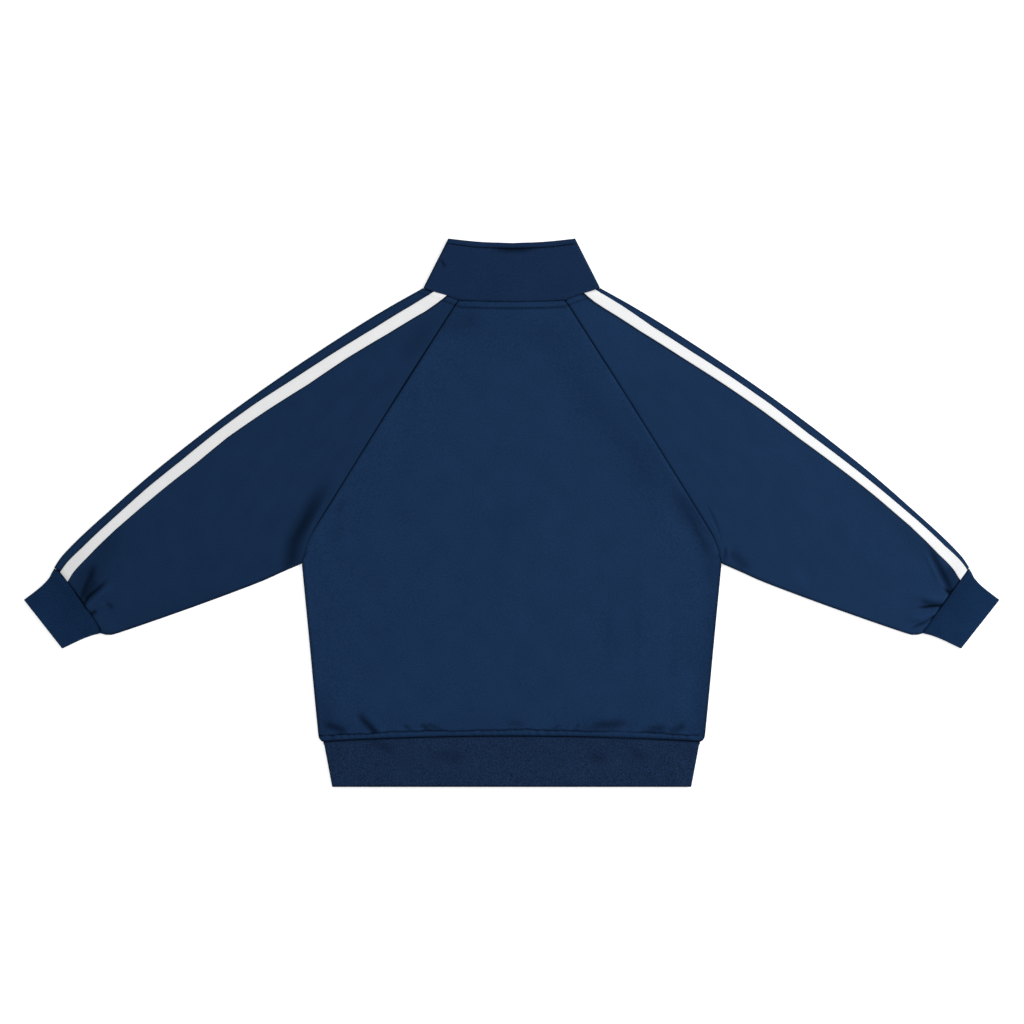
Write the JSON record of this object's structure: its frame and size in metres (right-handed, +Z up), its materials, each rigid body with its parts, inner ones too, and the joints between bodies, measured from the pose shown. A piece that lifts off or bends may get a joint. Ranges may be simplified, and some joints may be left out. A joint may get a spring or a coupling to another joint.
{
  "type": "track jacket",
  "caption": "Zip-up raglan track jacket laid flat, back up, with a stand collar, striped sleeves and ribbed cuffs and hem.",
  "frame": {"origin": "middle of the jacket's outline, on the surface that it lies on", "axes": "+X toward the wearer's right sleeve, +Y toward the collar, +Z up from the surface, through the back"},
  "size_m": [1.3418, 0.7545, 0.0098],
  "materials": {
    "jersey": "matt brushed knit, navy",
    "rib": "rib knit, darker navy",
    "stripe": "woven tape, white",
    "tape": "woven zip tape, navy",
    "zip_metal": "satin grey zip hardware"
  },
  "bodies": {
    "jacket": {"back": "jersey", "front_left": "jersey", "front_right": "jersey", "sleeve_left": "jersey", "sleeve_right": "jersey", "collar": "jersey", "stripe_left": "stripe", "stripe_right": "stripe", "cuff_left": "rib", "cuff_right": "rib", "hem_rib": "rib", "zip_tape_left": "tape", "zip_tape_right": "tape", "zip_slider": "zip_metal", "zip_box": "zip_metal"},
    "pull": {"zip_pull": "zip_metal"}
  },
  "joints": [
    {"name": "pull_swing", "type": "hinge", "parent": "jacket", "child": "pull", "pos_m": [0, 0.3075, 0.0013], "axis": [1, 0, 0], "range_deg": [0, 165]}
  ]
}
